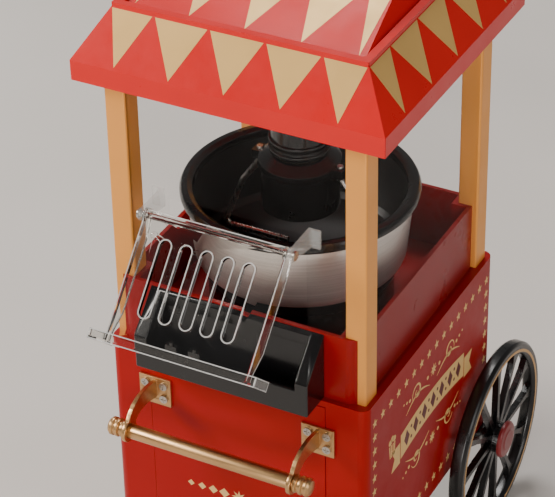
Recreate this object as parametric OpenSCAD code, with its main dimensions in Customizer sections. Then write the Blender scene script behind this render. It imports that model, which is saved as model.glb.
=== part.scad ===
// Tabletop popcorn cart: a stirred hot-plate kettle under a striped-fair roof, on two spoked wheels.
// The machine's front faces -Y, +X is its right-hand side seen from the front, and the floor is z = 0.

/* [Base] */
// Width of the base housing
base_w = 200; // [190:1:205]
// Depth of the base housing
base_d = 214.8; // [205:0.1:220]
// Height of the underside of the base above the floor
base_bottom = 84; // [80:1:88]
// Height of the deck above the floor
deck_z = 236; // [230:1:240]
// Corner radius of the base housing
base_corner = 7; // [4:1:10]
// Wall thickness of the moulded casings
wall = 3; // [2.5:0.5:3.5]

/* [Wheels] */
// Radius of the wheels
wheel_r = 76; // [72:1:78]
// How far the axle lies behind the middle of the base
wheel_back = 97.5; // [92:0.5:98]
// Width of the wheel rim along the axle
rim_w = 11; // [9:1:12]
// Depth of the rim from tread to inside edge
rim_depth = 10; // [8:1:12]
// Number of spokes in each wheel
spokes = 12; // [8:1:14]
// Radius of the axle
axle_r = 4; // [3:0.5:5]

/* [Handle] */
// Radius of the push bar
bar_r = 5.3; // [4.5:0.1:6]
// How far the bar's middle stands in front of the base
bar_reach = 40; // [36:1:44]
// Height of the bar's middle above the floor
bar_z = 193.5; // [188:0.5:198]
// Half the distance between the two arms
arm_x = 64; // [60:1:66]

/* [Cabinet] */
// Height of the ceiling plate's underside
ceiling_z = 446; // [440:1:450]
// Width of a column across the machine
column_w = 15.5; // [14:0.5:16]
// Depth of a column along the machine
column_d = 17.5; // [16:0.5:18]
// Thickness of the clear panes
pane = 2; // [1.5:0.5:2.5]
// Height of the tub's rim above the deck
tub_h = 53; // [50:1:56]

/* [Kettle] */
// Outer radius of the kettle rim
kettle_r = 84.2; // [80:0.1:85]
// Height of the kettle's top edge
kettle_top = 337; // [334:1:340]
// Height of the hot plate's top face
plate_z = 278; // [276:1:280]
// Radius of the stirrer's bell
bell_r = 28; // [26:1:30]

/* [Chute and door] */
// Half width of the chute
chute_x = 66.4; // [64:0.2:66.4]
// How far the chute stands in front of the middle of the base
chute_front = 129; // [127:0.5:130]
// Length of the door panel below its hinge
door_len = 88; // [84:1:89]
// Angle from hanging straight down to the open rest position
door_open = 42.7; // [35:0.1:45]
// Number of slots in the door
door_slots = 5; // [3:1:5]

/* [Roof] */
// Half width of the roof at the eaves
eave_x = 114.2; // [112:0.2:116]
// Half depth of the roof at the eaves
eave_y = 112.2; // [111:0.2:114]
// How far the skirt draws in from the eaves to the rim
roof_draw = 21.5; // [18:0.5:24]
// Height of the roof's upper rim above the floor
rim_z = 492.5; // [490:0.5:495]
// Height of the lid's ridge above its edge
lid_rise = 22; // [16:1:24]

/* [Hidden] */
$fn = 48;
running = 0.06;                       // play round every turning shaft
seam = 0.3;                           // gap shown round a fitted panel
wheel_face = base_w / 2 + 5;          // inner face of a wheel rim
hub_end = wheel_face + rim_w + 2;     // outer end of a wheel hub
bar_y = -base_d / 2 - bar_reach;
column_x = 96.3 - column_w / 2;
column_y = 100.8 - column_d / 2;
tub_x = 92;
tub_front = -103;
tub_back = 96;
tub_floor = deck_z + 4;
tub_rim = deck_z + tub_h;
kettle_y = -6.7;
hinge_y = -126.5;
hinge_z = 363;
cheek_x = 53.2;                       // outer face of the door's cheeks
lip_x = 62;
lip_out = 8;
lip_h = 7;
door_t = 2.2;
slot_pitch = 15.5;
slot_w = 8;
tube_r = 20;
shoulder_z = 361.5;
eave_z = 443.4;
fascia_h = 14.4;
tray_z = 489;
switch_at = [-34, base_d / 2 - 4, 128];
gland_at = [44, base_d / 2, 106];
leg_at = [82, -88];
// The model is moved so that the middle of its footprint lies over the origin
front_reach = -hinge_y + (door_len + 1) * sin(door_open) + (door_t + lip_out) * cos(door_open);
body_y = (front_reach - wheel_back - wheel_r) / 2;

red = [0.72, 0.07, 0.06];
gold = [0.80, 0.60, 0.33];
black = [0.06, 0.06, 0.07];
steel = [0.78, 0.76, 0.73];
clear = [0.85, 0.90, 0.92, 0.35];
brass = [0.76, 0.58, 0.28];

// ---- helpers ----
module placed() translate([0, body_y, 0]) children();
module on_left() mirror([1, 0, 0]) children();
module both_sides() {
  children();
  on_left() children();
}
// A plate outline with true round corners
module round_rect(w, d, r) {
  square([w - 2 * r, d], center = true);
  square([w, d - 2 * r], center = true);
  for (x = [-1, 1], y = [-1, 1]) translate([x * (w / 2 - r), y * (d / 2 - r)]) circle(r = r);
}
module block(w, d, r, z0, z1) translate([0, 0, z0]) linear_extrude(z1 - z0) round_rect(w, d, r);
// A box given by its two corners
module span(a, b) translate(a) cube(b - a);
module rod_x(r, x0, x1) translate([x0, 0, 0]) rotate([0, 90, 0]) cylinder(r = r, h = x1 - x0);
module rod_y(r, y0, y1) translate([0, y1, 0]) rotate([90, 0, 0]) cylinder(r = r, h = y1 - y0);
// A side-view outline, given as [y, z] points, extruded along the machine's width
module side_plate(x0, x1, points)
  translate([x0, 0, 0]) rotate([90, 0, 90]) linear_extrude(x1 - x0) polygon(points);
// A four-sided tapered block between two heights
module taper(x0, y0, z0, x1, y1, z1)
  translate([0, 0, z0])
    linear_extrude(z1 - z0, scale = [x1 / x0, y1 / y0], slices = 1) square([2 * x0, 2 * y0], center = true);
module at_axle() translate([0, wheel_back, wheel_r]) children();
module at_kettle() translate([0, kettle_y, 0]) children();

// ---- base ----
panel_x = 69;
panel_z0 = base_bottom + 8;
panel_z1 = deck_z - 5;
screw_x = 52;
screw_y = 80;

module base_housing() color(red) placed() difference() {
  block(base_w, base_d, base_corner, base_bottom, deck_z);
  block(base_w - 2 * wall, base_d - 2 * wall, base_corner - wall, base_bottom - 1, deck_z - wall);
  span([-panel_x, -base_d / 2 - 1, panel_z0], [panel_x, -base_d / 2 + 1.2, panel_z1]);
  at_kettle() translate([0, 0, deck_z - wall - 1]) cylinder(r = 40, h = wall + 2);
  translate(switch_at) cube([27, 2 * wall + 8, 21], center = true);
  translate(gland_at) rod_y(7, -wall - 1, 1);
}
module base_bottom_plate() color([0.12, 0.12, 0.12]) placed() difference() {
  block(base_w - 2 * wall - 0.2, base_d - 2 * wall - 0.2, base_corner - wall, base_bottom, base_bottom + 2.5);
  for (x = [-1, 1], y = [-1, 1])
    translate([x * screw_x, y * screw_y, base_bottom - 1]) cylinder(r = 1.7, h = 5);
  for (i = [-3:3]) translate([i * 12, 0, base_bottom]) cube([4, 60, 8], center = true);
}
module bottom_screws() color(steel) placed()
  for (x = [-1, 1], y = [-1, 1]) translate([x * screw_x, y * screw_y, base_bottom - 1.6]) {
    cylinder(r = 3.4, h = 1.6);
    cylinder(r = 1.6, h = 9);
  }
module front_panel() color(red) placed()
  span([-panel_x + seam, -base_d / 2 - 0.4, panel_z0 + seam],
       [panel_x - seam, -base_d / 2 + 1.2, panel_z1 - seam]);
module front_leg() color(black) placed() translate([leg_at[0], leg_at[1], 0]) difference() {
  union() {
    block(20, 20, 4, 6, base_bottom);
    block(28, 26, 4, base_bottom - 4, base_bottom);
  }
  block(13, 13, 2, 12, base_bottom + 1);
}
module foot_pad() color([0.1, 0.1, 0.1]) placed() translate([leg_at[0], leg_at[1], 0]) {
  cylinder(r = 9, h = 6);
}

// ---- wheels ----
module axle() color(steel) placed() at_axle() rod_x(axle_r, -hub_end + 1.5, hub_end - 1.5);
module axle_bracket() color(black) placed() at_axle() difference() {
  union() {
    rod_x(11, 82, 89);
    span([82, -11, 0], [89, 11, base_bottom - wheel_r]);
    span([74, -18, base_bottom - wheel_r - 2.5], [89, 18, base_bottom - wheel_r]);
    rod_x(8, 89, wheel_face - 1.4);
  }
  rod_x(axle_r + running, 80, wheel_face);
  span([70, -30, base_bottom - wheel_r], [100, 30, 30]);
}
module wheel_rim() color(black) placed() at_axle() rotate([0, 90, 0]) rotate_extrude() {
  inner = wheel_r - rim_depth;
  outer_face = wheel_face + rim_w;
  polygon([[inner, wheel_face + 2.5], [inner + 2, wheel_face], [wheel_r - 2, wheel_face],
           [wheel_r, wheel_face + 2.2], [wheel_r, outer_face - 2.2], [wheel_r - 2, outer_face],
           [inner + 2, outer_face], [inner, outer_face - 2.5]]);
}
spoke_x0 = wheel_face + 3;
spoke_x1 = wheel_face + rim_w - 3;
module wheel_spokes() color(black) placed() at_axle() difference() {
  union() {
    translate([spoke_x0, 0, 0]) rotate([0, 90, 0]) linear_extrude(spoke_x1 - spoke_x0)
      intersection() {
        circle(r = wheel_r - rim_depth);
        for (i = [0:spokes - 1]) rotate(i * 360 / spokes)
          polygon([[8, -3.2], [24, -2.2], [46, -1.9], [58, -2.6], [68, -6.5],
                   [68, 6.5], [58, 2.6], [46, 1.9], [24, 2.2], [8, 3.2]]);
      }
    rod_x(12, wheel_face - 0.9, hub_end);
  }
  rod_x(axle_r + running, wheel_face - 2, hub_end + 1);
}
module hub_cap() color([0.6, 0.08, 0.07]) placed() at_axle() rotate([0, 90, 0]) rotate_extrude()
  polygon([[0, hub_end], [14.5, hub_end], [14.5, hub_end + 2], [13.2, hub_end + 3.4],
           [9, hub_end + 3.8], [8, hub_end + 4.4], [0, hub_end + 4.4]]);

// ---- push handle ----
arm_t = 3;
arm_from = [-base_d / 2 - 1, 204];
arm_bend = [bar_y + 8, 214];
arm_to = [bar_y, bar_z];
function arm_at(t) = (1 - t) * (1 - t) * arm_from + 2 * t * (1 - t) * arm_bend + t * t * arm_to;
function arm_slope(t) = (1 - t) * (arm_bend - arm_from) + t * (arm_to - arm_bend);
function arm_edge(t, side) =
  arm_at(t) + side * (7 - 2 * t) * [-arm_slope(t)[1], arm_slope(t)[0]] / norm(arm_slope(t));
arm_steps = 12;
flange_z = [191, 214];
flange_half = 12.5;
screw_spots = [for (x = [-7.2, 7.2], z = [197.5, 208.5]) [arm_x + x, z]];

module handle_bar() color(brass) placed() translate([0, bar_y, bar_z]) rod_x(bar_r, -arm_x - 2, arm_x + 2);
module handle_knobs() color(brass) placed() translate([0, bar_y, bar_z])
  both_sides() rotate([0, 90, 0]) translate([0, 0, arm_x + 2]) rotate_extrude()
    polygon([[0, 0], [6.2, 0], [6.2, 2.2], [5.2, 2.8], [5.2, 3.8], [6.6, 4.4], [6.6, 6.4],
             [5.6, 7], [5.6, 8], [6.6, 8.6], [6.6, 10.6], [5.2, 12.2], [0, 12.8]]);
module handle_bracket() color(brass) placed() difference() {
  union() {
    side_plate(arm_x - arm_t / 2, arm_x + arm_t / 2,
      concat([for (i = [0:arm_steps]) arm_edge(i / arm_steps, 1)],
             [for (i = [arm_steps:-1:0]) arm_edge(i / arm_steps, -1)]));
    translate([0, bar_y, bar_z]) rod_x(8.4, arm_x - arm_t / 2, arm_x + arm_t / 2);
    span([arm_x - flange_half, -base_d / 2 - 2.4, flange_z[0]],
         [arm_x + flange_half, -base_d / 2 - 0.4, flange_z[1]]);
  }
  translate([0, bar_y, bar_z]) rod_x(bar_r + 0.02, arm_x - 5, arm_x + 5);
  span([40, -base_d / 2 - 0.4, 180], [90, -base_d / 2 + 20, 230]);
  for (s = screw_spots) translate([s[0], 0, s[1]]) rod_y(1.8, -base_d / 2 - 5, -base_d / 2 + 1);
}
module handle_screws() color(steel) placed() both_sides()
  for (s = screw_spots) translate([s[0], -base_d / 2, s[1]]) difference() {
    union() {
      rod_y(3.1, -4, -2.4);
      rod_y(1.7, -2.4, -0.5);
    }
    span([-2.2, -4.1, -0.4], [2.2, -3.5, 0.4]);
    span([-0.4, -4.1, -2.2], [0.4, -3.5, 2.2]);
  }

// ---- tub, heater and kettle ----
module column_spots(grow = 0)
  for (x = [-1, 1], y = [-1, 1]) translate([x * column_x, y * column_y, deck_z])
    translate([-column_w / 2 - grow, -column_d / 2 - grow, -1])
      cube([column_w + 2 * grow, column_d + 2 * grow, tub_h + 2]);
module tub() color(red) placed() difference() {
  union() {
    difference() {
      translate([0, (tub_front + tub_back) / 2, 0])
        block(2 * tub_x, tub_back - tub_front, 10, deck_z, tub_rim);
      translate([0, (tub_front + tub_back) / 2, 0])
        block(2 * (tub_x - wall), tub_back - tub_front - 2 * wall, 10 - wall, tub_floor, tub_rim + 1);
    }
    for (x = [-1, 1]) {
      translate([x * 83.5, -90.5, deck_z]) translate([-6.5, -10.5, 0]) cube([13, 21, tub_h]);
      translate([x * 83.5, 86.5, deck_z]) translate([-6.5, -6.5, 0]) cube([13, 13, tub_h]);
    }
  }
  column_spots(0.1);
  at_kettle() translate([0, 0, deck_z - 1]) cylinder(r = 40, h = 8);
}
module heater_housing() color(black) placed() at_kettle() difference() {
  translate([0, 0, tub_floor]) cylinder(r = 66, h = plate_z - 9 - tub_floor);
  translate([0, 0, tub_floor - 1]) cylinder(r = 62.5, h = plate_z);
}
module heat_reflector() color(steel) placed() at_kettle() difference() {
  translate([0, 0, plate_z - 24]) cylinder(r = 62.2, h = 1);
  translate([0, 0, plate_z - 25]) cylinder(r = 5, h = 3);
}
module heating_element() color([0.3, 0.28, 0.27]) placed() at_kettle() translate([0, 0, plate_z - 13])
  rotate_extrude(angle = 340) translate([46, 0]) circle(r = 3.6);
module thermostat() color([0.85, 0.83, 0.78]) placed() at_kettle() translate([18, 0, plate_z - 18])
  cylinder(r = 8, h = 9);
module thermal_fuse() color([0.9, 0.9, 0.9]) placed() at_kettle() translate([-20, 0, plate_z - 19])
  rod_x(2.5, -9, 9);
module hot_plate() color([0.2, 0.2, 0.21]) placed() at_kettle()
  translate([0, 0, plate_z - 9]) cylinder(r = 68, h = 9);
module terminal_block() color([0.9, 0.88, 0.82]) placed()
  span([-20, 40, base_bottom + 2.5], [20, 60, base_bottom + 20]);
kettle_wall_top = kettle_top - 8;
module kettle() color(steel) placed() at_kettle() rotate_extrude($fn = 96)
  polygon([[0, plate_z], [69, plate_z], [73.4, plate_z + 2.2], [74.8, plate_z + 6],
           [79.6, kettle_wall_top], [76.8, kettle_wall_top], [72.4, plate_z + 7],
           [69, plate_z + 2.8], [0, plate_z + 2]]);
module kettle_rim() color(black) placed() at_kettle() rotate_extrude($fn = 96)
  polygon([[75.6, kettle_wall_top], [82, kettle_wall_top], [kettle_r, kettle_wall_top + 2],
           [kettle_r, kettle_wall_top + 5], [kettle_r - 1.6, kettle_top], [kettle_r - 5.5, kettle_top],
           [75, kettle_top - 1.6], [74.6, kettle_wall_top + 1.5]]);

// ---- chute ----
chute_wall = 9.8;
chute_floor = 241;
chute_back = tub_front - 0.1;
module chute() color(black) placed() difference() {
  side_plate(-chute_x, chute_x,
    [[-chute_front, deck_z + 0.2], [-chute_front, 262], [chute_back, tub_rim - 1],
     [chute_back, deck_z + 0.2]]);
  side_plate(-chute_x + chute_wall, chute_x - chute_wall,
    [[-chute_front + 3, chute_floor], [chute_back - 10, chute_floor], [chute_back - 2.5, tub_rim - 12],
     [chute_back - 2.5, tub_rim + 1], [-chute_front + 3, tub_rim + 1]]);
  span([-chute_x + chute_wall, -chute_front - 1, 256], [chute_x - chute_wall, -chute_front + 4, tub_rim]);
}
module chute_catch() color(black) placed() for (x = [-42, -24]) {
  span([x, -chute_front, 256], [x + 9, -chute_front + 3, 262]);
  translate([x + 4.5, -chute_front + 1.5, 262]) cylinder(r = 1.5, h = 2.4);
}

// ---- columns and panes ----
module column(x, y) color(gold) placed() translate([x * column_x, y * column_y, 0]) difference() {
  block(column_w, column_d, 1.5, deck_z, ceiling_z);
  block(column_w - 3, column_d - 3, 0.8, deck_z - 1, ceiling_z + 1);
}
module window_side() color(clear) placed()
  span([94.5 - pane, -column_y + column_d / 2, deck_z], [94.5, column_y - column_d / 2, ceiling_z]);
module window_rear() color(clear) placed()
  span([-column_x + column_w / 2, 97, deck_z], [column_x - column_w / 2, 97 + pane, ceiling_z]);
module window_front() color(clear) placed() difference() {
  span([-column_x + column_w / 2, -99.5, tub_rim], [column_x - column_w / 2, -99.5 + pane, ceiling_z]);
  span([-52, -101, tub_rim - 1], [52, -95, hinge_z - 2]);
}

// ---- door ----
pin_r = 2;
module hinge_brackets() color(clear) placed() both_sides() difference() {
  union() {
    side_plate(54, 57, [[-99.5, hinge_z + 5], [hinge_y, hinge_z + 4.5], [hinge_y, hinge_z - 4.5],
                        [-99.5, hinge_z - 9]]);
    translate([0, hinge_y, hinge_z]) rod_x(4.5, 54, 57);
    span([57, -101.5, hinge_z - 9], [63, -99.5, hinge_z + 5]);
  }
  translate([0, hinge_y, hinge_z]) rod_x(pin_r + running, 50, 60);
}
module hinge_pins() color(steel) placed() translate([0, hinge_y, hinge_z]) both_sides() {
  rod_x(pin_r, 50.5, 57.3);
  rod_x(3.4, 57.3, 58.6);
}
module slot_outline(grow) {
  top = -13 - slot_w / 2;
  bottom = -66 + slot_w / 2;
  translate([-slot_w / 2 - grow, bottom]) square([slot_w + 2 * grow, top - bottom]);
  for (y = [top, bottom]) translate([0, y]) circle(r = slot_w / 2 + grow);
}
cheek_outline = [[-door_t, 4], [5, 4], [10, -14], [10, -66], [4, -door_len + 8], [4, -door_len],
                 [-door_t, -door_len]];
// The door in its own frame: hinge axis at the origin, panel hanging down
module door_flat() difference() {
  union() {
    span([-cheek_x, -door_t, -door_len], [cheek_x, 0, 4]);
    for (x = [-cheek_x, cheek_x - 2.2]) {
      side_plate(x, x + 2.2, cheek_outline);
      rod_x(5, x, x + 2.2);
    }
    span([-lip_x, -door_t - lip_out, -door_len - 1], [lip_x, 0, -door_len + 1]);
    span([-lip_x, -door_t - lip_out, -door_len - 1], [lip_x, -door_t - lip_out + 1.8, -door_len - 1 + lip_h]);
    for (x = [-lip_x, lip_x - 1.8])
      span([x, -door_t - lip_out, -door_len - 1], [x + 1.8, 12, -door_len - 1 + lip_h]);
    for (x = [-lip_x, cheek_x])
      span([x, -door_t - lip_out, -door_len - 1], [x + lip_x - cheek_x, 12, -door_len + 1]);
    for (i = [0:door_slots - 1]) translate([(i - (door_slots - 1) / 2) * slot_pitch, -door_t + 0.01, 0])
      rotate([90, 0, 0]) linear_extrude(0.9) slot_outline(1.3);
    translate([-41, -door_t, -12]) rod_y(2.6, -1, 0);
  }
  for (i = [0:door_slots - 1]) translate([(i - (door_slots - 1) / 2) * slot_pitch, 5, 0])
    rotate([90, 0, 0]) linear_extrude(12) slot_outline(0);
  rod_x(pin_r + running, -cheek_x - 1, cheek_x + 1);
  span([-cheek_x + 2.2, -0.01, -5.5], [cheek_x - 2.2, 6, 6]);
}
module door() color(clear) placed() translate([0, hinge_y, hinge_z]) rotate([-door_open, 0, 0]) door_flat();

// ---- stirrer drive ----
module ceiling_plate() color(red) placed() difference() {
  block(2 * (eave_x - 4), 2 * (eave_y - 4), 2, ceiling_z, ceiling_z + wall);
  at_kettle() translate([0, 0, ceiling_z - 1]) cylinder(r = axle_r + 2, h = 6);
}
module gearbox() color([0.75, 0.75, 0.73]) placed() at_kettle() difference() {
  block(48, 40, 4, ceiling_z + wall, ceiling_z + wall + 17);
  translate([0, 0, ceiling_z]) cylinder(r = axle_r + running, h = 17);
}
module stir_motor() color(steel) placed() at_kettle() translate([5, 0, ceiling_z + wall + 17]) {
  cylinder(r = 15, h = 17);
  cylinder(r = 5, h = 19);
}
module motor_screws() color(steel) placed() at_kettle()
  for (x = [-1, 1], y = [-1, 1]) translate([x * 20, y * 16, ceiling_z + wall + 17]) cylinder(r = 2.4, h = 1.8);
module drive_column() color(black) placed() at_kettle() difference() {
  union() {
    translate([0, 0, 363]) cylinder(r = tube_r, h = ceiling_z - 363);
    for (z = [364, 371]) translate([0, 0, z]) cylinder(r = tube_r + 1.8, h = 3.4);
    translate([0, 0, ceiling_z - 4]) cylinder(r = tube_r + 5, h = 4);
  }
  translate([0, 0, 362]) cylinder(r = tube_r - 3, h = ceiling_z);
}
module shaft_bush() color(brass) placed() at_kettle() difference() {
  translate([0, 0, 363]) cylinder(r = tube_r - 3, h = 7);
  translate([0, 0, 362]) cylinder(r = axle_r + running, h = 9);
}
module drive_shaft() color(steel) placed() at_kettle() translate([0, 0, 330])
  cylinder(r = axle_r, h = ceiling_z + wall + 13 - 330);
module stir_bell() color(black) placed() at_kettle() difference() {
  union() {
    rotate_extrude($fn = 96)
      polygon([[axle_r, 330], [9, 330], [9, 352], [bell_r - 3.5, 352], [bell_r - 4, 344], [bell_r - 3, 320],
               [bell_r, 320], [bell_r - 0.8, 332], [bell_r - 0.6, 349], [bell_r + 1, 353],
               [bell_r + 1, 356], [tube_r + 0.6, shoulder_z], [axle_r, shoulder_z]]);
    both_sides() span([bell_r - 4, -5.5, 349], [bell_r + 7, 5.5, 355.5]);
  }
  both_sides() translate([bell_r + 3, 0, 348]) cylinder(r = 2.2, h = 9);
}
rod_z = plate_z + 6.5;
rod_path = [[31, 357], [31, 346], [45, 326], [60, rod_z + 4], [57, rod_z], [10, rod_z]];
module stir_rods() color(steel) placed() at_kettle() both_sides()
  for (i = [0:len(rod_path) - 2]) {
    from = rod_path[i];
    step = rod_path[i + 1] - from;
    translate([from[0], 0, from[1]]) rotate([0, atan2(step[0], step[1]), 0]) {
      cylinder(r = 2.2, h = norm(step));
      if (i > 0) sphere(r = 2.3, $fn = 24);
    }
  }

// ---- roof ----
rim_x = eave_x - roof_draw;
rim_y = eave_y - roof_draw;
skirt_z = eave_z + fascia_h;
lid_x = rim_x - 6.5;
lid_y = rim_y - 6.5;
lid_edge_z = rim_z - 1;
lid_hip = 10;
ridge_half = 5;
module roof_canopy() color(red) placed() difference() {
  union() {
    block(2 * eave_x, 2 * eave_y, 0.6, eave_z, skirt_z);
    taper(eave_x, eave_y, skirt_z, rim_x, rim_y, rim_z);
    block(2 * rim_x, 2 * rim_y, 0.6, rim_z - 1, rim_z + 3);
  }
  block(2 * (eave_x - wall), 2 * (eave_y - wall), 1.5, eave_z - 1, skirt_z);
  taper(eave_x - wall - 1, eave_y - wall - 1, skirt_z - 0.5, rim_x - 1, rim_y - 1, tray_z - wall);
  block(2 * (rim_x - 5.5), 2 * (rim_y - 5.5), 2, tray_z, rim_z + 4);
}
module roof_lid() color(red) placed() difference() {
  union() {
    block(2 * lid_x, 2 * lid_y, 0.6, tray_z + 0.3, lid_edge_z);
    taper(lid_x, lid_y, lid_edge_z, lid_x - lid_hip, ridge_half, lid_edge_z + lid_rise);
  }
  taper(lid_x - 4, lid_y - 6, tray_z - 1, lid_x - lid_hip - 2, 2, lid_edge_z + lid_rise - 3);
}

// ---- power ----
rocker_half = 9.6;
module switch_housing() color(black) placed() translate(switch_at) difference() {
  union() {
    span([-13.4, -10, -10.4], [13.4, 4, 10.4]);
    span([-15.5, 4, -12.5], [15.5, 6, 12.5]);
  }
  span([-10, -7, -7.4], [10, 7, 7.4]);
  rod_x(1.2 + running, -11.8, 11.8);
}
module switch_rocker() color([0.65, 0.06, 0.05]) placed() translate(switch_at) {
  side_plate(-rocker_half, rocker_half,
    [[-4, -3], [-4, 3], [2.5, 6.3], [6.4, 6.1], [5, 0], [6.4, -6.1], [2.5, -6.3]]);
  rod_x(1.2, -11.6, 11.6);
}
module cord_gland() color(black) placed() translate(gland_at) difference() {
  union() {
    rod_y(7, -wall - 2, 0);
    rod_y(10, 0, 3);
    rod_y(7.6, 3, 9);
  }
  rod_y(3.5, -wall - 3, 10);
}

base_housing();
base_bottom_plate();
bottom_screws();
front_panel();
on_left() front_leg();  // front_leg_left
front_leg();  // front_leg_right
on_left() foot_pad();  // foot_pad_left
foot_pad();  // foot_pad_right
axle();
on_left() axle_bracket();  // axle_bracket_left
axle_bracket();  // axle_bracket_right
on_left() wheel_rim();  // wheel_rim_left
wheel_rim();  // wheel_rim_right
on_left() wheel_spokes();  // wheel_spokes_left
wheel_spokes();  // wheel_spokes_right
on_left() hub_cap();  // hub_cap_left
hub_cap();  // hub_cap_right
handle_bar();
handle_knobs();
on_left() handle_bracket();  // handle_bracket_left
handle_bracket();  // handle_bracket_right
handle_screws();
tub();
heater_housing();
heat_reflector();
heating_element();
thermostat();
thermal_fuse();
hot_plate();
terminal_block();
kettle();
kettle_rim();
chute();
chute_catch();
column(-1, -1);  // column_front_left
column(1, -1);  // column_front_right
column(-1, 1);  // column_rear_left
column(1, 1);  // column_rear_right
on_left() window_side();  // window_left
window_side();  // window_right
window_rear();
window_front();
hinge_brackets();
hinge_pins();
door();
ceiling_plate();
gearbox();
stir_motor();
motor_screws();
drive_column();
shaft_bush();
drive_shaft();
stir_bell();
stir_rods();
roof_canopy();
roof_lid();
switch_housing();
switch_rocker();
cord_gland();
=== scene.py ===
"""A tabletop popcorn cart: materials, printed decoration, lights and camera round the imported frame."""
import math

import bmesh
import bpy
from mathutils import Matrix, Vector


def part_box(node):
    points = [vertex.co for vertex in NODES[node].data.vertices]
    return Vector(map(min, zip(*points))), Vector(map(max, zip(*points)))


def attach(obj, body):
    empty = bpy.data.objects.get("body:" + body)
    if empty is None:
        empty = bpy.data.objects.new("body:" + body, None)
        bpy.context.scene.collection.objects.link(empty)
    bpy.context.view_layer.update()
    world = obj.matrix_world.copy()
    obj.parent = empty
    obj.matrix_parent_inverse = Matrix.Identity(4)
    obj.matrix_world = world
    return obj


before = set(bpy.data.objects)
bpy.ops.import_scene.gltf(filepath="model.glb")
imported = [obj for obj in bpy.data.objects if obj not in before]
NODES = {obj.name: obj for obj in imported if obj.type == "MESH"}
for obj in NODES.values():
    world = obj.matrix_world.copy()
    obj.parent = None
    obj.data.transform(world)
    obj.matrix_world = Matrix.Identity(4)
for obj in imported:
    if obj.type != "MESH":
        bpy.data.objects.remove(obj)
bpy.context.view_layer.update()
MM = 0.001

# ---- places read from the frame ----
BASE_LO, BASE_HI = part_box("base_housing")
ROOF_LO, ROOF_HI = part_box("roof_canopy")
LID_LO, LID_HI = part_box("roof_lid")
KETTLE_LO, KETTLE_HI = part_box("kettle")
PANEL_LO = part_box("front_panel")[0]
RIM_LO, RIM_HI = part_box("wheel_rim_right")
MID_Y = (BASE_LO.y + BASE_HI.y) / 2
KETTLE_Y = (KETTLE_LO.y + KETTLE_HI.y) / 2
AXLE_Y = (RIM_LO.y + RIM_HI.y) / 2
AXLE_Z = (RIM_LO.z + RIM_HI.z) / 2
WHEEL_R = (RIM_HI.z - RIM_LO.z) / 2

# ---- sizes of the printed decoration and of the roof's slopes ----
FASCIA = 14.4 * MM
ROOF_DRAW = 21.5 * MM
RIM_RISE = 3 * MM
LID_RISE = 22 * MM
LID_HIP = 10 * MM
RIDGE_HALF = 5 * MM
PENNANT_PITCH = 40.5 * MM
PENNANT_WIDTH = 38.5 * MM
PRINT = 0.12 * MM

# ---- the middle of the kettle's wall: its height above the floor, radius there and flare ----
KETTLE_FOOT = 6.5 * MM
KETTLE_MID_R = 73.1 * MM
KETTLE_FLARE = 0.103


# ---- materials ----
def linear(red, green, blue):
    """A display colour, 0 to 255, as linear light."""
    def one(value):
        value /= 255
        return value / 12.92 if value <= 0.04045 else ((value + 0.055) / 1.055) ** 2.4
    return (one(red), one(green), one(blue), 1.0)


def shade(colour, factor):
    """A linear colour made lighter or darker."""
    return (colour[0] * factor, colour[1] * factor, colour[2] * factor, 1.0)


class Material:
    """A node material under construction: one Principled shader and what drives it."""

    def __init__(self, name, **sockets):
        self.block = bpy.data.materials.new(name)
        self.block.use_nodes = True
        self.tree = self.block.node_tree
        self.shader = self.tree.nodes["Principled BSDF"]
        for socket, value in sockets.items():
            self.shader.inputs[socket.replace("_", " ")].default_value = value
        self.place = self.add("ShaderNodeTexCoord").outputs["Object"]

    def add(self, kind, **values):
        node = self.tree.nodes.new(kind)
        for key, value in values.items():
            if hasattr(node, key):
                setattr(node, key, value)
            else:
                node.inputs[key.replace("_", " ")].default_value = value
        return node

    def link(self, source, target):
        self.tree.links.new(source, target)

    def noise(self, scale, detail=3.0, stretch=(1, 1, 1), rough=0.55):
        mapping = self.add("ShaderNodeMapping", Scale=stretch)
        noise = self.add("ShaderNodeTexNoise", Scale=scale, Detail=detail, Roughness=rough)
        self.link(self.place, mapping.inputs["Vector"])
        self.link(mapping.outputs["Vector"], noise.inputs["Vector"])
        return noise.outputs["Fac"]

    def spread(self, source, low, high, from_low=0.3, from_high=0.7):
        ramp = self.add("ShaderNodeMapRange", From_Min=from_low, From_Max=from_high, To_Min=low, To_Max=high)
        self.link(source, ramp.inputs["Value"])
        return ramp.outputs["Result"]

    def math(self, operation, first, second=None):
        node = self.add("ShaderNodeMath", operation=operation)
        for index, value in enumerate((first, second)):
            if value is None:
                continue
            if isinstance(value, (int, float)):
                node.inputs[index].default_value = value
            else:
                self.link(value, node.inputs[index])
        return node.outputs["Value"]

    def mix(self, factor, first, second):
        node = self.add("ShaderNodeMix", data_type="RGBA")
        self.link(factor, node.inputs["Factor"])
        for socket, value in ((node.inputs[6], first), (node.inputs[7], second)):
            if isinstance(value, tuple):
                socket.default_value = value
            else:
                self.link(value, socket)
        return node.outputs[2]

    def colour(self, source):
        self.link(source, self.shader.inputs["Base Color"])

    def roughness(self, source):
        self.link(source, self.shader.inputs["Roughness"])

    def bump(self, source, strength, distance):
        bump = self.add("ShaderNodeBump", Strength=strength, Distance=distance)
        self.link(source, bump.inputs["Height"])
        self.link(bump.outputs["Normal"], self.shader.inputs["Normal"])


def moulded(name, colour, rough, coat=0.0, grain=420.0, bump=0.02, blotch=0.08, **sockets):
    """Moulded plastic: faint colour drift, patchy gloss and a fine moulding grain."""
    made = Material(name, Coat_Weight=coat, Coat_Roughness=0.08, **sockets)
    drift = made.noise(9.0, detail=4.0)
    made.colour(made.mix(made.spread(drift, 0, 1), shade(colour, 1 - blotch), shade(colour, 1 + blotch)))
    smear = made.noise(38.0, detail=6.0, rough=0.7)
    made.roughness(made.spread(smear, rough[0], rough[1]))
    made.bump(made.noise(grain, detail=2.0), bump, 0.0002)
    return made.block


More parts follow.
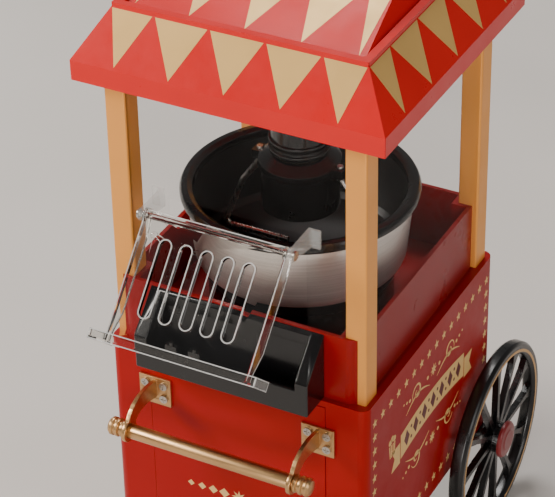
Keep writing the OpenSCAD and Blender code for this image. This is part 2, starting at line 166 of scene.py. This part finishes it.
def brushed(name, colour, rough, stretch, grain=1.0, metallic=1.0, bump=0.12, coat=0.0):
    """Brushed metal: fine lines along the grain in colour, gloss and height."""
    made = Material(name, Metallic=metallic, Coat_Weight=coat, Coat_Roughness=0.12)
    lines = made.noise(grain, detail=5.0, stretch=stretch, rough=0.65)
    made.colour(made.mix(made.spread(lines, 0, 1), shade(colour, 0.84), shade(colour, 1.1)))
    handled = made.noise(22.0, detail=4.0)
    uneven = made.math("ADD", made.spread(lines, rough[0], rough[1]), made.spread(handled, -0.05, 0.07))
    made.roughness(uneven)
    made.bump(lines, bump, 0.0001)
    return made.block


# How much of the kettle's outside reflects as bare metal
STEEL_METAL = 0.82


def kettle_steel():
    """Steel brushed round the wall outside, dark non-stick coating inside."""
    made = Material("kettle_steel")
    where = made.add("ShaderNodeSeparateXYZ")
    made.link(made.place, where.inputs["Vector"])
    across = where.outputs["X"]
    along = made.math("SUBTRACT", where.outputs["Y"], KETTLE_Y)
    reach = made.math("SQRT", made.math("ADD", made.math("MULTIPLY", across, across),
                                        made.math("MULTIPLY", along, along)))
    above = made.math("SUBTRACT", where.outputs["Z"], KETTLE_LO.z + KETTLE_FOOT)
    wall = made.math("ADD", made.math("MULTIPLY", above, KETTLE_FLARE), KETTLE_MID_R)
    inside = made.math("LESS_THAN", reach, wall)
    rings = made.noise(1.0, detail=6.0, stretch=(5, 5, 2600), rough=0.7)
    steel = made.mix(made.spread(rings, 0, 1), linear(206, 198, 190), linear(244, 238, 232))
    fleck = made.noise(900.0, detail=1.0)
    coating = made.mix(made.spread(fleck, 0, 1, 0.55, 0.72), linear(26, 25, 25), linear(52, 50, 49))
    made.colour(made.mix(inside, steel, coating))
    bare = made.math("SUBTRACT", 1.0, inside)
    made.link(made.math("MULTIPLY", bare, STEEL_METAL), made.shader.inputs["Metallic"])
    made.roughness(made.math("ADD", made.spread(rings, 0.30, 0.44), made.math("MULTIPLY", inside, 0.04)))
    made.bump(rings, 0.10, 0.0001)
    return made.block


def clear_pane():
    """Thin clear sheet: nearly invisible face on, brighter where it is seen edge on, lightly smeared."""
    made = Material("clear_pane", IOR=1.49)
    weight = made.add("ShaderNodeLayerWeight", Blend=0.22)
    smear = made.noise(16.0, detail=5.0, rough=0.7)
    haze = made.spread(smear, 0.0, 0.012)
    made.link(made.math("ADD", made.spread(weight.outputs["Facing"], 0.008, 0.07, 0.0, 1.0), haze),
              made.shader.inputs["Alpha"])
    made.colour(made.mix(made.spread(smear, 0, 1), linear(92, 90, 88), linear(120, 118, 114)))
    made.roughness(made.spread(smear, 0.02, 0.10))
    return made.block


def clear_moulding():
    """Thick clear plastic, polished, with faint flow marks."""
    made = Material("clear_moulding", Transmission_Weight=1.0, IOR=1.47)
    smear = made.noise(30.0, detail=5.0, rough=0.7)
    made.colour(made.mix(made.spread(smear, 0, 1), linear(246, 244, 240), linear(255, 255, 253)))
    made.roughness(made.spread(smear, 0.0, 0.03))
    return made.block


RED_ROOF = linear(214, 16, 14)
RED_BASE = linear(158, 5, 4)
GOLD_PRINT = linear(232, 190, 120)
MATERIALS = {
    "roof_red": moulded("roof_red", RED_ROOF, (0.26, 0.38), coat=0.06, Specular_IOR_Level=0.38),
    "lid_red": moulded("lid_red", RED_ROOF, (0.34, 0.46), coat=0.02, Specular_IOR_Level=0.18),
    "base_red": moulded("base_red", RED_BASE, (0.30, 0.44), coat=0.02, Specular_IOR_Level=0.17),
    "tub_red": moulded("tub_red", linear(142, 5, 6), (0.24, 0.38), coat=0.02, Specular_IOR_Level=0.2),
    "black_gloss": moulded("black_gloss", linear(14, 13, 14), (0.16, 0.30), coat=0.12, blotch=0.2),
    "wheel_black": moulded("wheel_black", linear(13, 12, 13), (0.22, 0.36), coat=0.12, blotch=0.2),
    "rubber": moulded("rubber", linear(30, 30, 31), (0.70, 0.88), grain=1400, bump=0.3),
    "grey_plastic": moulded("grey_plastic", linear(140, 138, 134), (0.45, 0.6), bump=0.15),
    "dark_cast": moulded("dark_cast", linear(34, 33, 34), (0.42, 0.6), grain=1100, bump=0.3, Metallic=0.6),
    "ceramic": moulded("ceramic", linear(222, 216, 204), (0.4, 0.55)),
    "hub_red": moulded("hub_red", linear(128, 34, 36), (0.30, 0.44), coat=0.15),
    "rocker_red": moulded("rocker_red", linear(170, 26, 24), (0.2, 0.3), coat=0.3),
    "column_gold": moulded("column_gold", linear(240, 162, 74), (0.36, 0.48), coat=0.03, grain=900, bump=0.06,
                           blotch=0.05, Metallic=0.35),
    "handle_brass": brushed("handle_brass", linear(208, 166, 116), (0.30, 0.44), (14, 520, 520), coat=0.1),
    "screw_steel": brushed("screw_steel", linear(196, 190, 182), (0.26, 0.4), (500, 500, 500)),
    "rod_steel": brushed("rod_steel", linear(204, 200, 194), (0.2, 0.32), (600, 600, 30)),
    "kettle_steel": kettle_steel(),
    "clear_pane": clear_pane(),
    "clear_moulding": clear_moulding(),
    "clear_bracket": moulded("clear_bracket", linear(226, 226, 222), (0.08, 0.20), Alpha=0.2),
    # Near-white, half clear: the painted highlight laid along the door's edges, slot rims, lip and cheeks
    "painted_edge_highlight": moulded("painted_edge_highlight", linear(240, 240, 238), (0.10, 0.22), Alpha=0.5),
    "pennant_gold": moulded("pennant_gold", linear(222, 178, 104), (0.34, 0.48), Metallic=0.2),
    "print_gold": moulded("print_gold", GOLD_PRINT, (0.40, 0.55), blotch=0.06, Metallic=0.15),
    "print_dark": moulded("print_dark", linear(96, 22, 24), (0.40, 0.55)),
    "stripe_gold": moulded("stripe_gold", linear(206, 160, 100), (0.3, 0.45), Metallic=0.5),
}

# Which CAD nodes wear which material, with the radius in mm of their rounded edges (0 for none)
DRESS = [
    ("roof_red", 1.2, ["roof_canopy"]),
    ("lid_red", 0.8, ["roof_lid"]),
    ("roof_red", 0.5, ["ceiling_plate"]),
    ("base_red", 1.4, ["base_housing"]),
    ("base_red", 0.35, ["front_panel"]),
    ("tub_red", 1.2, ["tub"]),
    ("black_gloss", 1.0, ["chute", "front_leg_left", "front_leg_right"]),
    ("black_gloss", 1.0, ["axle_bracket_left", "axle_bracket_right"]),
    ("black_gloss", 0.5, ["chute_catch", "switch_housing", "cord_gland", "heater_housing", "drive_column"]),
    ("black_gloss", 0.6, ["stir_bell", "kettle_rim"]),
    ("wheel_black", 0.7, ["wheel_rim_left", "wheel_rim_right", "wheel_spokes_left", "wheel_spokes_right"]),
    ("rubber", 0.8, ["foot_pad_left", "foot_pad_right"]),
    ("grey_plastic", 0.4, ["base_bottom_plate", "gearbox"]),
    ("dark_cast", 0.5, ["hot_plate", "heating_element"]),
    ("ceramic", 0.3, ["thermostat", "thermal_fuse", "terminal_block"]),
    ("hub_red", 0.4, ["hub_cap_left", "hub_cap_right"]),
    ("rocker_red", 0.4, ["switch_rocker"]),
    ("column_gold", 0.5, ["column_front_left", "column_front_right"]),
    ("column_gold", 0.5, ["column_rear_left", "column_rear_right"]),
    ("handle_brass", 0.4, ["handle_bar", "handle_knobs", "handle_bracket_left", "handle_bracket_right"]),
    ("handle_brass", 0.2, ["shaft_bush"]),
    ("screw_steel", 0.25, ["handle_screws", "bottom_screws", "motor_screws", "hinge_pins"]),
    ("rod_steel", 0.3, ["axle", "drive_shaft", "stir_rods", "heat_reflector", "stir_motor"]),
    ("kettle_steel", 0.4, ["kettle"]),
    ("clear_pane", 0.0, ["window_left", "window_right", "window_rear", "window_front"]),
    ("clear_moulding", 0.35, ["door"]),
    ("clear_bracket", 0.35, ["hinge_brackets"]),
]


def round_edges(piece, radius):
    """Joins the split faces of an imported solid and rounds its sharp edges."""
    weld = piece.modifiers.new("join", "WELD")
    weld.merge_threshold = 1e-6
    bevel = piece.modifiers.new("round", "BEVEL")
    bevel.width = radius * MM
    bevel.segments = 3
    bevel.limit_method = "ANGLE"
    bevel.angle_limit = math.radians(32)
    bevel.use_clamp_overlap = True
    bevel.harden_normals = True


def dress_nodes():
    for material, radius, names in DRESS:
        for name in names:
            piece = NODES[name]
            piece.data.materials.clear()
            piece.data.materials.append(MATERIALS[material])
            if radius:
                round_edges(piece, radius)


# ---- thin printed shapes ----
def on_face(origin, along, up):
    """Maps (s, v, height) on a flat face to a point; along x up is the face's outward normal."""
    origin, along, up = Vector(origin), Vector(along).normalized(), Vector(up).normalized()
    out = along.cross(up)
    return lambda s, v, height: origin + along * s + up * v + out * height


def printed(name, outlines, place, material, body, slot, height=PRINT):
    """One object of thin closed shapes lying on a face, each given by its (s, v) outline."""
    mesh = bmesh.new()
    for outline in outlines:
        low = [mesh.verts.new(place(s, v, -0.02 * MM)) for s, v in outline]
        high = [mesh.verts.new(place(s, v, height)) for s, v in outline]
        mesh.faces.new(high)
        mesh.faces.new(list(reversed(low)))
        for i in range(len(outline)):
            j = (i + 1) % len(outline)
            mesh.faces.new((low[i], low[j], high[j], high[i]))
    return finish_mesh(mesh, name, material, body)


def bands(name, pairs, place, material, body, slot, height=PRINT, base=0.0):
    """One object of thin closed bands, each between an inner and an outer loop of (s, v) points."""
    mesh = bmesh.new()
    for inner, outer in pairs:
        rows = [[mesh.verts.new(place(s, v, h)) for s, v in loop]
                for loop, h in ((inner, base - 0.02 * MM), (inner, base + height),
                                (outer, base + height), (outer, base - 0.02 * MM))]
        for k in range(4):
            low, high = rows[k], rows[(k + 1) % 4]
            for i in range(len(low)):
                j = (i + 1) % len(low)
                mesh.faces.new((low[i], low[j], high[j], high[i]))
    return finish_mesh(mesh, name, material, body)


def finish_mesh(mesh, name, material, body):
    bmesh.ops.recalc_face_normals(mesh, faces=mesh.faces)
    data = bpy.data.meshes.new(name)
    mesh.to_mesh(data)
    mesh.free()
    piece = bpy.data.objects.new(name, data)
    bpy.context.scene.collection.objects.link(piece)
    data.materials.append(MATERIALS[material])
    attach(piece, body)
    return piece


def clipped(outline, keep):
    """The part of an outline where keep(s, v) is at least zero; keep is linear in s and v."""
    result = []
    for i, here in enumerate(outline):
        before = outline[i - 1]
        inside, was_inside = keep(*here) >= 0, keep(*before) >= 0
        if inside != was_inside:
            t = keep(*before) / (keep(*before) - keep(*here))
            result.append((before[0] + t * (here[0] - before[0]), before[1] + t * (here[1] - before[1])))
        if inside:
            result.append(here)
    return result


STAR_WAIST = 0.42


def star(s, v, radius, points=5):
    """A star with one point up."""
    spots = []
    for i in range(2 * points):
        reach = radius if i % 2 == 0 else radius * STAR_WAIST
        angle = math.pi / 2 + i * math.pi / points
        spots.append((s + reach * math.cos(angle), v + reach * math.sin(angle)))
    return spots


def disc(s, v, radius, sides=14):
    return [(s + radius * math.cos(2 * math.pi * i / sides),
             v + radius * math.sin(2 * math.pi * i / sides)) for i in range(sides)]


def ribbon(path, half_width):
    """A strip along a path of (s, v) points, tapering to both ends."""
    left, right = [], []
    last = len(path) - 1
    for i, (s, v) in enumerate(path):
        before, after = path[max(i - 1, 0)], path[min(i + 1, last)]
        ds, dv = after[0] - before[0], after[1] - before[1]
        size = math.hypot(ds, dv)
        width = half_width * (0.18 + 0.82 * math.sin(math.pi * i / last))
        left.append((s - dv / size * width, v + ds / size * width))
        right.append((s + dv / size * width, v - ds / size * width))
    return left + right[::-1]


SCROLL_TURN = 2.55 * math.pi


def scroll(s, v, size, turn, mirror=1):
    """An open spiral with a long tail, starting at its outer end."""
    path = []
    for i in range(26):
        t = i / 25
        angle = turn + mirror * t * SCROLL_TURN
        reach = size * (1 - 0.82 * t)
        path.append((s + reach * math.cos(angle), v + reach * math.sin(angle)))
    return path


# ---- roof pennants ----
def roof_faces(half_x, half_y, z):
    """The four sides as (name, edge middle, along, half length of the edge, direction inwards)."""
    return [("front", Vector((0, MID_Y - half_y, z)), Vector((1, 0, 0)), half_x, Vector((0, 1, 0))),
            ("right", Vector((half_x, MID_Y, z)), Vector((0, 1, 0)), half_y, Vector((-1, 0, 0))),
            ("rear", Vector((0, MID_Y + half_y, z)), Vector((-1, 0, 0)), half_x, Vector((0, -1, 0))),
            ("left", Vector((-half_x, MID_Y, z)), Vector((0, -1, 0)), half_y, Vector((1, 0, 0)))]


def pennant_row(name, face, draw, rise, hip, apex, top, body, margin):
    """Five pennants hanging between two heights of a sloping side, the outer two narrowed to stay on it."""
    _, middle, along, half, inwards = face
    up = inwards * draw + Vector((0, 0, rise))
    slope = up.length
    place = on_face(middle, along, up)
    outlines = []
    for i in range(-2, 3):
        centre = i * PENNANT_PITCH
        reach = half - hip * top - margin
        outline = [(max(centre - PENNANT_WIDTH / 2, -reach), top * slope), (centre, apex * slope),
                   (min(centre + PENNANT_WIDTH / 2, reach), top * slope)]
        for side in (-1, 1):
            outline = clipped(outline, lambda s, v: half - hip * v / slope - margin - side * s)
        if len(outline) > 2:
            outlines.append(outline)
    printed(name, outlines, place, "pennant_gold", body, "gold_column")


def roof_pennants():
    half_x, half_y = ROOF_HI.x, (ROOF_HI.y - ROOF_LO.y) / 2
    skirt_z = ROOF_LO.z + FASCIA
    rim_z = ROOF_HI.z - RIM_RISE
    for face in roof_faces(half_x, half_y, skirt_z):
        pennant_row("pennants_" + face[0], face, ROOF_DRAW, rim_z - skirt_z, ROOF_DRAW, 0.05, 0.985, "cart",
                    1.2 * MM)
    half_x, half_y = LID_HI.x, (LID_HI.y - LID_LO.y) / 2
    for face in roof_faces(half_x, half_y, LID_HI.z - LID_RISE):
        if face[0] in ("front", "rear"):
            pennant_row("lid_pennants_" + face[0], face, half_y - RIDGE_HALF, LID_RISE, LID_HIP, 0.04, 0.78,
                        "lid", 1.0 * MM)


# ---- printed sides and front ----
STAR_S = (-94.5, 95.5, 16)
STAR_Z = (99.0, 219.0, 11)
STAR_R = 3.9


def star_border():
    outlines = []
    s0, s1, across = STAR_S
    z0, z1, rows = STAR_Z
    for i in range(across):
        s = s0 + (s1 - s0) * i / (across - 1)
        outlines += [star(s * MM, z * MM, STAR_R * MM) for z in (z0, z1)]
    for i in range(1, rows - 1):
        z = z0 + (z1 - z0) * i / (rows - 1)
        outlines += [star(s * MM, z * MM, STAR_R * MM) for s in (s0, s1)]
    return outlines


BANNER = (-52.0, 57.0, 160.0, 181.0)
BANNER_SAG = 5.0


def banner_line(s, z):
    """Height of a line of the banner, which rises a little towards its middle."""
    s0, s1 = BANNER[:2]
    t = (s - s0) / (s1 - s0)
    return (s * MM, (z + BANNER_SAG * 4 * t * (1 - t) - BANNER_SAG / 2) * MM)


def banner_shapes():
    s0, s1, z0, z1 = BANNER
    steps = [s0 + (s1 - s0) * i / 16 for i in range(17)]
    body = [banner_line(s, z0) for s in steps] + [banner_line(s, z1) for s in reversed(steps)]
    tails = []
    for end, way in ((s0, -1), (s1, 1)):
        tails.append([((end + way * a) * MM, (z0 + b) * MM) for a, b in
                      ((1.2, -5), (15, -5), (10, 4.5), (15, 13), (1.2, 13))])
    return [body] + tails


def banner_marks():
    """Lozenges between dots, where lettering might otherwise stand."""
    s0, s1, z0, z1 = BANNER
    shapes = []
    count = 7
    for i in range(count):
        s = s0 + 10 + (s1 - s0 - 20) * i / (count - 1)
        middle, height = banner_line(s, (z0 + z1) / 2)
        shapes.append([(middle - 4.4 * MM, height), (middle, height - 7 * MM),
                       (middle + 4.4 * MM, height), (middle, height + 7 * MM)])
    for i in range(count - 1):
        s = s0 + 10 + (s1 - s0 - 20) * (i + 0.5) / (count - 1)
        middle, height = banner_line(s, (z0 + z1) / 2)
        shapes += [disc(middle, height + side * 4.6 * MM, 1.3 * MM) for side in (-1, 1)]
    return shapes


FLOURISH_S = 2.5
FLOURISH_ROWS = ((199, 1), (140, -1))


def flourishes():
    """Scrolls and leaf strokes above and below the banner."""
    shapes = []
    for z, way in FLOURISH_ROWS:
        for side in (-1, 1):
            centre = (FLOURISH_S + side * 28) * MM
            start = math.pi / 2 - side * 1.9
            shapes.append(ribbon(scroll(centre, z * MM, 8 * MM, start, side * way), 1.0 * MM))
            wave = [((FLOURISH_S + side * (6 + 40 * t)) * MM,
                     (z - way * (9 - 7 * math.sin(math.pi * t))) * MM)
                    for t in (i / 14 for i in range(15))]
            shapes.append(ribbon(wave, 0.9 * MM))
            shapes += [disc((FLOURISH_S + side * (40 + 5 * k)) * MM, (z + way * 1.5 * k) * MM,
                            (1.5 - 0.3 * k) * MM)
                       for k in range(3)]
        shapes.append(star(FLOURISH_S * MM, (z + way * 1) * MM, 5.2 * MM, points=8))
        shapes += [disc((FLOURISH_S + side * 10) * MM, z * MM, 1.6 * MM) for side in (-1, 1)]
    return shapes


CARTON_AT = (-66.0, 178.0)


def carton_icon():
    """A striped carton with three round puffs on top."""
    s, z = CARTON_AT
    stripes = []
    for i in range(4):
        a, b = -5.2 + i * 2.8, -3.6 + i * 2.8
        stripes.append([((s + a * 0.75) * MM, (z - 8) * MM), ((s + b * 0.75) * MM, (z - 8) * MM),
                        ((s + b) * MM, (z + 3) * MM), ((s + a) * MM, (z + 3) * MM)])
    spots = ((-3.4, 0), (0, 1.6), (3.2, 0))
    puffs = [disc((s + a) * MM, (z + 6 + b) * MM, 2.5 * MM, sides=10) for a, b in spots]
    return stripes + puffs


def side_prints():
    for side, name in ((1, "right"), (-1, "left")):
        place = on_face((side * BASE_HI.x, MID_Y, 0), (0, side, 0), (0, 0, 1))
        printed("stars_" + name, star_border(), place, "print_gold", "cart", "gold_column")
        printed("banner_" + name, banner_shapes(), place, "print_gold", "cart", "gold_column")
        printed("banner_marks_" + name, banner_marks(), place, "print_dark", "cart", "hub_red", 2 * PRINT)
        printed("scrolls_" + name, flourishes() + carton_icon(), place, "print_gold", "cart", "gold_column")


ORNAMENT_Z = 127.0


def front_print():
    """A short ornament low on the front panel."""
    place = on_face((0, PANEL_LO.y, 0), (1, 0, 0), (0, 0, 1))
    z = ORNAMENT_Z
    shapes = [star(0, z * MM, 6 * MM, points=8)]
    for side in (-1, 1):
        for k in range(4):
            s = side * (12 + 9 * k)
            size = 4.2 - 0.5 * k
            shapes.append([((s - size) * MM, z * MM), (s * MM, (z - size) * MM),
                           ((s + size) * MM, z * MM), (s * MM, (z + size) * MM)])
    printed("front_ornament", shapes, place, "print_gold", "cart", "gold_column")


def circle(radius, sides=96):
    return disc(0, 0, radius, sides=sides)


def wheel_stripes():
    for side, name in ((-1, "left"), (1, "right")):
        place = on_face((side * RIM_HI.x, AXLE_Y, AXLE_Z), (0, side, 0), (0, 0, 1))
        loops = (circle(WHEEL_R - 7.6 * MM), circle(WHEEL_R - 5.4 * MM))
        bands("pinstripe_" + name, [loops], place, "stripe_gold", "wheel_" + name, "gold_column")


# ---- painted highlights: near-white lines along the door's edges, slot rims, lip and cheeks ----
DOOR_OPEN = math.radians(42.7)
DOOR_THICK = 2.2 * MM
LIP_OUT = 8 * MM
SLOTS = 5
SLOT_PITCH = 15.5
SLOT_SPAN = (-66, -13)
SLOT_R = 4
RIM_LIFT = 0.89 * MM
LINE = 0.8
DOOR_SIDE = 53.2
DOOR_TOP = 3.9
DOOR_FOOT = -86
LIP_SIDE = 62
LIP_SPAN = (-89, -82)
CHEEK_EDGE = [(4.9, DOOR_TOP), (9.9, -14), (9.9, -66), (3.9, -80), (3.9, DOOR_FOOT)]
WING_ENDS = (-10.2, 12)
WING_LINE = 0.05 * MM


def stadium(s, radius, steps=9):
    """The loop round an upright slot."""
    low, high = SLOT_SPAN[0] + SLOT_R, SLOT_SPAN[1] - SLOT_R
    half_turn = [math.pi * i / steps for i in range(steps + 1)]
    top = [((s + radius * math.cos(a)) * MM, (high + radius * math.sin(a)) * MM) for a in half_turn]
    foot = [((s - radius * math.cos(a)) * MM, (low - radius * math.sin(a)) * MM) for a in half_turn]
    return top + foot


def rectangle(s0, v0, s1, v1):
    return [(s0 * MM, v0 * MM), (s1 * MM, v0 * MM), (s1 * MM, v1 * MM), (s0 * MM, v1 * MM)]


def frame_of(s0, v0, s1, v1):
    """An inner and an outer loop just inside a rectangle."""
    return (rectangle(s0 + LINE, v0 + LINE, s1 - LINE, v1 - LINE),
            rectangle(s0 + 0.05, v0 + 0.05, s1 - 0.05, v1 - 0.05))


# Lays thin near-white strips on the clear door along its edges, slot rims, lip and cheeks: painted highlights
# where these edges catch the light.
def paint_door_highlights():
    pins_lo, pins_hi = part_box("hinge_pins")
    hinge = Vector((0, (pins_lo.y + pins_hi.y) / 2, (pins_lo.z + pins_hi.z) / 2))
    up = Vector((0, math.sin(DOOR_OPEN), math.cos(DOOR_OPEN)))
    out = Vector((1, 0, 0)).cross(up)
    front = on_face(hinge + out * DOOR_THICK, (1, 0, 0), up)
    rims = [(stadium((i - (SLOTS - 1) / 2) * SLOT_PITCH, SLOT_R + 0.1),
             stadium((i - (SLOTS - 1) / 2) * SLOT_PITCH, SLOT_R + 1.0)) for i in range(SLOTS)]
    # Material, body and slot shared by every painted highlight strip below
    look = ("painted_edge_highlight", "serving_door", "clear_plastic")
    bands("slot_rim_highlights", rims, front, *look, base=RIM_LIFT)
    edge = DOOR_SIDE - 0.1
    inner = edge - LINE
    strips = [rectangle(side * edge, DOOR_FOOT, side * inner, DOOR_TOP) for side in (-1, 1)]
    strips.append(rectangle(0.1 - inner, DOOR_TOP - LINE, inner - 0.1, DOOR_TOP))
    printed("door_edge_highlights", strips, front, *look)
    lip = on_face(hinge + out * (DOOR_THICK + LIP_OUT), (1, 0, 0), up)
    bands("lip_edge_highlights", [frame_of(-LIP_SIDE, LIP_SPAN[0], LIP_SIDE, LIP_SPAN[1])], lip, *look)
    for side, name in ((-1, "left"), (1, "right")):
        cheek = on_face(hinge + Vector((side * DOOR_SIDE * MM, 0, 0)), -out * side, up)
        outline = CHEEK_EDGE + [(s - LINE, v) for s, v in reversed(CHEEK_EDGE)]
        printed("cheek_edge_highlight_" + name, [[(side * s * MM, v * MM) for s, v in outline]], cheek, *look)
        wing = on_face(hinge + Vector((side * LIP_SIDE * MM, 0, 0)), -out * side, up)
        ends = sorted(end * side for end in WING_ENDS)
        loops = frame_of(ends[0], LIP_SPAN[0], ends[1], LIP_SPAN[1])
        bands("wing_edge_highlights_" + name, [loops], wing, *look, height=WING_LINE)


# ---- stage ----
CAMERA_AT = Vector((650.2, -1258.4, 1226.8)) * MM
CAMERA_YAW = math.radians(28.94)
CAMERA_PITCH = math.radians(33.13)
CAMERA_ROLL = math.radians(-1.63)
CAMERA_LENS = 155.7
CAMERA_SHIFT = (0.0523, -0.0551)
FLOOR_HALF = 6
AIM_Z = 0.3


def camera():
    """A long lens from the front right and above, leaning slightly."""
    data = bpy.data.cameras.new("camera")
    data.sensor_width = 36
    data.lens = CAMERA_LENS
    data.shift_x, data.shift_y = CAMERA_SHIFT
    data.clip_end = 20
    eye = bpy.data.objects.new("camera", data)
    bpy.context.scene.collection.objects.link(eye)
    back = Vector((math.sin(CAMERA_YAW) * math.cos(CAMERA_PITCH),
                   -math.cos(CAMERA_YAW) * math.cos(CAMERA_PITCH), math.sin(CAMERA_PITCH)))
    level = Vector((math.cos(CAMERA_YAW), math.sin(CAMERA_YAW), 0))
    upright = back.cross(level)
    right = level * math.cos(CAMERA_ROLL) + upright * math.sin(CAMERA_ROLL)
    up = upright * math.cos(CAMERA_ROLL) - level * math.sin(CAMERA_ROLL)
    turn = Matrix((right, up, back)).transposed().to_4x4()
    eye.matrix_world = Matrix.Translation(CAMERA_AT + Vector((0, MID_Y, 0))) @ turn
    bpy.context.scene.camera = eye


def area_light(name, place, aim, size, power, colour):
    data = bpy.data.lights.new(name, "AREA")
    data.size = size
    data.energy = power
    data.color = colour
    lamp = bpy.data.objects.new(name, data)
    bpy.context.scene.collection.objects.link(lamp)
    lamp.location = place
    lamp.rotation_euler = (Vector(aim) - Vector(place)).to_track_quat("-Z", "Y").to_euler()


def stage():
    """A pale floor, four soft lights and a dim world."""
    mesh = bmesh.new()
    bmesh.ops.create_grid(mesh, x_segments=1, y_segments=1, size=FLOOR_HALF)
    data = bpy.data.meshes.new("floor")
    mesh.to_mesh(data)
    mesh.free()
    floor = bpy.data.objects.new("floor", data)
    bpy.context.scene.collection.objects.link(floor)
    look = Material("floor_paper")
    cloud = look.noise(3.0, detail=2.0)
    look.colour(look.mix(look.spread(cloud, 0, 1), linear(212, 206, 200), linear(220, 214, 208)))
    look.roughness(look.spread(cloud, 0.75, 0.85))
    data.materials.append(look.block)
    middle = (0, MID_Y, AIM_Z)
    area_light("key", (-2.1, -1.43, 2.0), middle, 0.9, 78, (1.0, 0.96, 0.90))
    area_light("front", (0.7, -2.5, 0.75), middle, 1.0, 30, (1.0, 0.96, 0.92))
    area_light("fill", (2.2, -0.9, 1.3), middle, 1.2, 14, (1.0, 0.97, 0.95))
    area_light("top", (-0.55, 0.95, 2.2), middle, 0.8, 30, (1.0, 0.98, 0.96))
    world = bpy.data.worlds.new("studio")
    world.use_nodes = True
    background = world.node_tree.nodes["Background"]
    background.inputs["Color"].default_value = (0.93, 0.91, 0.89, 1)
    background.inputs["Strength"].default_value = 0.17
    bpy.context.scene.world = world


camera()
stage()
dress_nodes()
roof_pennants()
side_prints()
front_print()
wheel_stripes()
paint_door_highlights()
